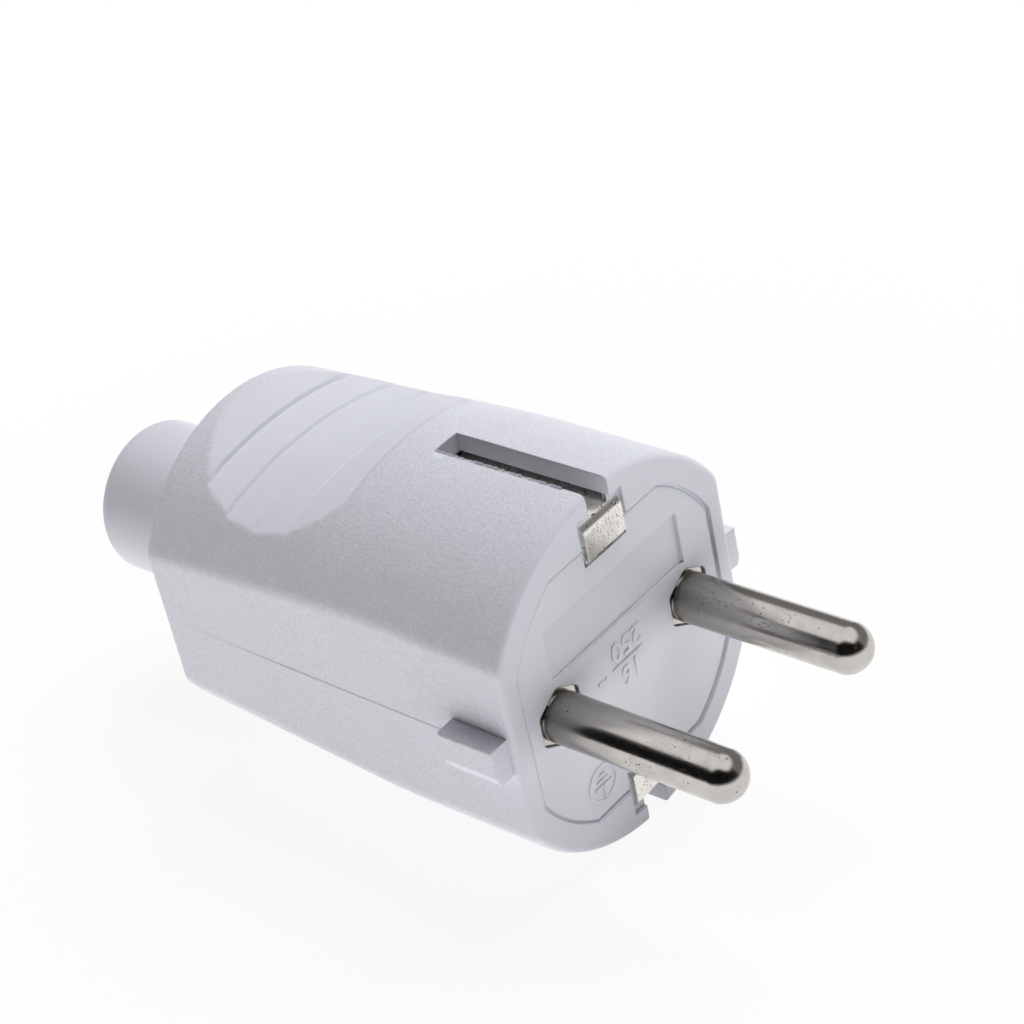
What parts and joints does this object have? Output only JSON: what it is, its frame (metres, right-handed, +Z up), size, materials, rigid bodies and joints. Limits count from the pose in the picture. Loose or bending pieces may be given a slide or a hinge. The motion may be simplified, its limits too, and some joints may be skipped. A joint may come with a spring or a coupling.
{
  "type": "electrical plug",
  "caption": "Straight rewirable mains plug with round pins, earth contacts at top and bottom, a ribbed grip hood with side lugs and a smooth cable gland.",
  "frame": {"origin": "centre of the engagement face, on the plug's axis, in the front plane of the hood's rim", "axes": "+X from the left pin to the right pin, +Y along the plug from the pins towards the cord, +Z up through the upper earth contact"},
  "size_m": [0.0362, 0.081, 0.0368],
  "materials": {
    "hood_plastic": "fine grained white moulding",
    "insert_plastic": "smooth satin white moulding",
    "gland_plastic": "smooth white flexible sleeve",
    "pin_metal": "nickel plated over brass, slightly pitted",
    "strap_metal": "nickel plated spring strip",
    "screw_steel": "bright zinc plated"
  },
  "bodies": {
    "root": {"hood": "hood_plastic", "contact_insert": "insert_plastic", "pin_left": "pin_metal", "pin_right": "pin_metal", "pin_terminal_plates": "screw_steel", "pin_terminal_screws": "screw_steel", "earth_strap": "strap_metal", "earth_clamp_plate": "screw_steel", "earth_terminal_screw": "screw_steel", "cord_clamp_saddle": "insert_plastic", "cord_clamp_screws": "screw_steel", "hood_screw": "screw_steel", "gland_sleeve": "gland_plastic"}
  },
  "joints": []
}
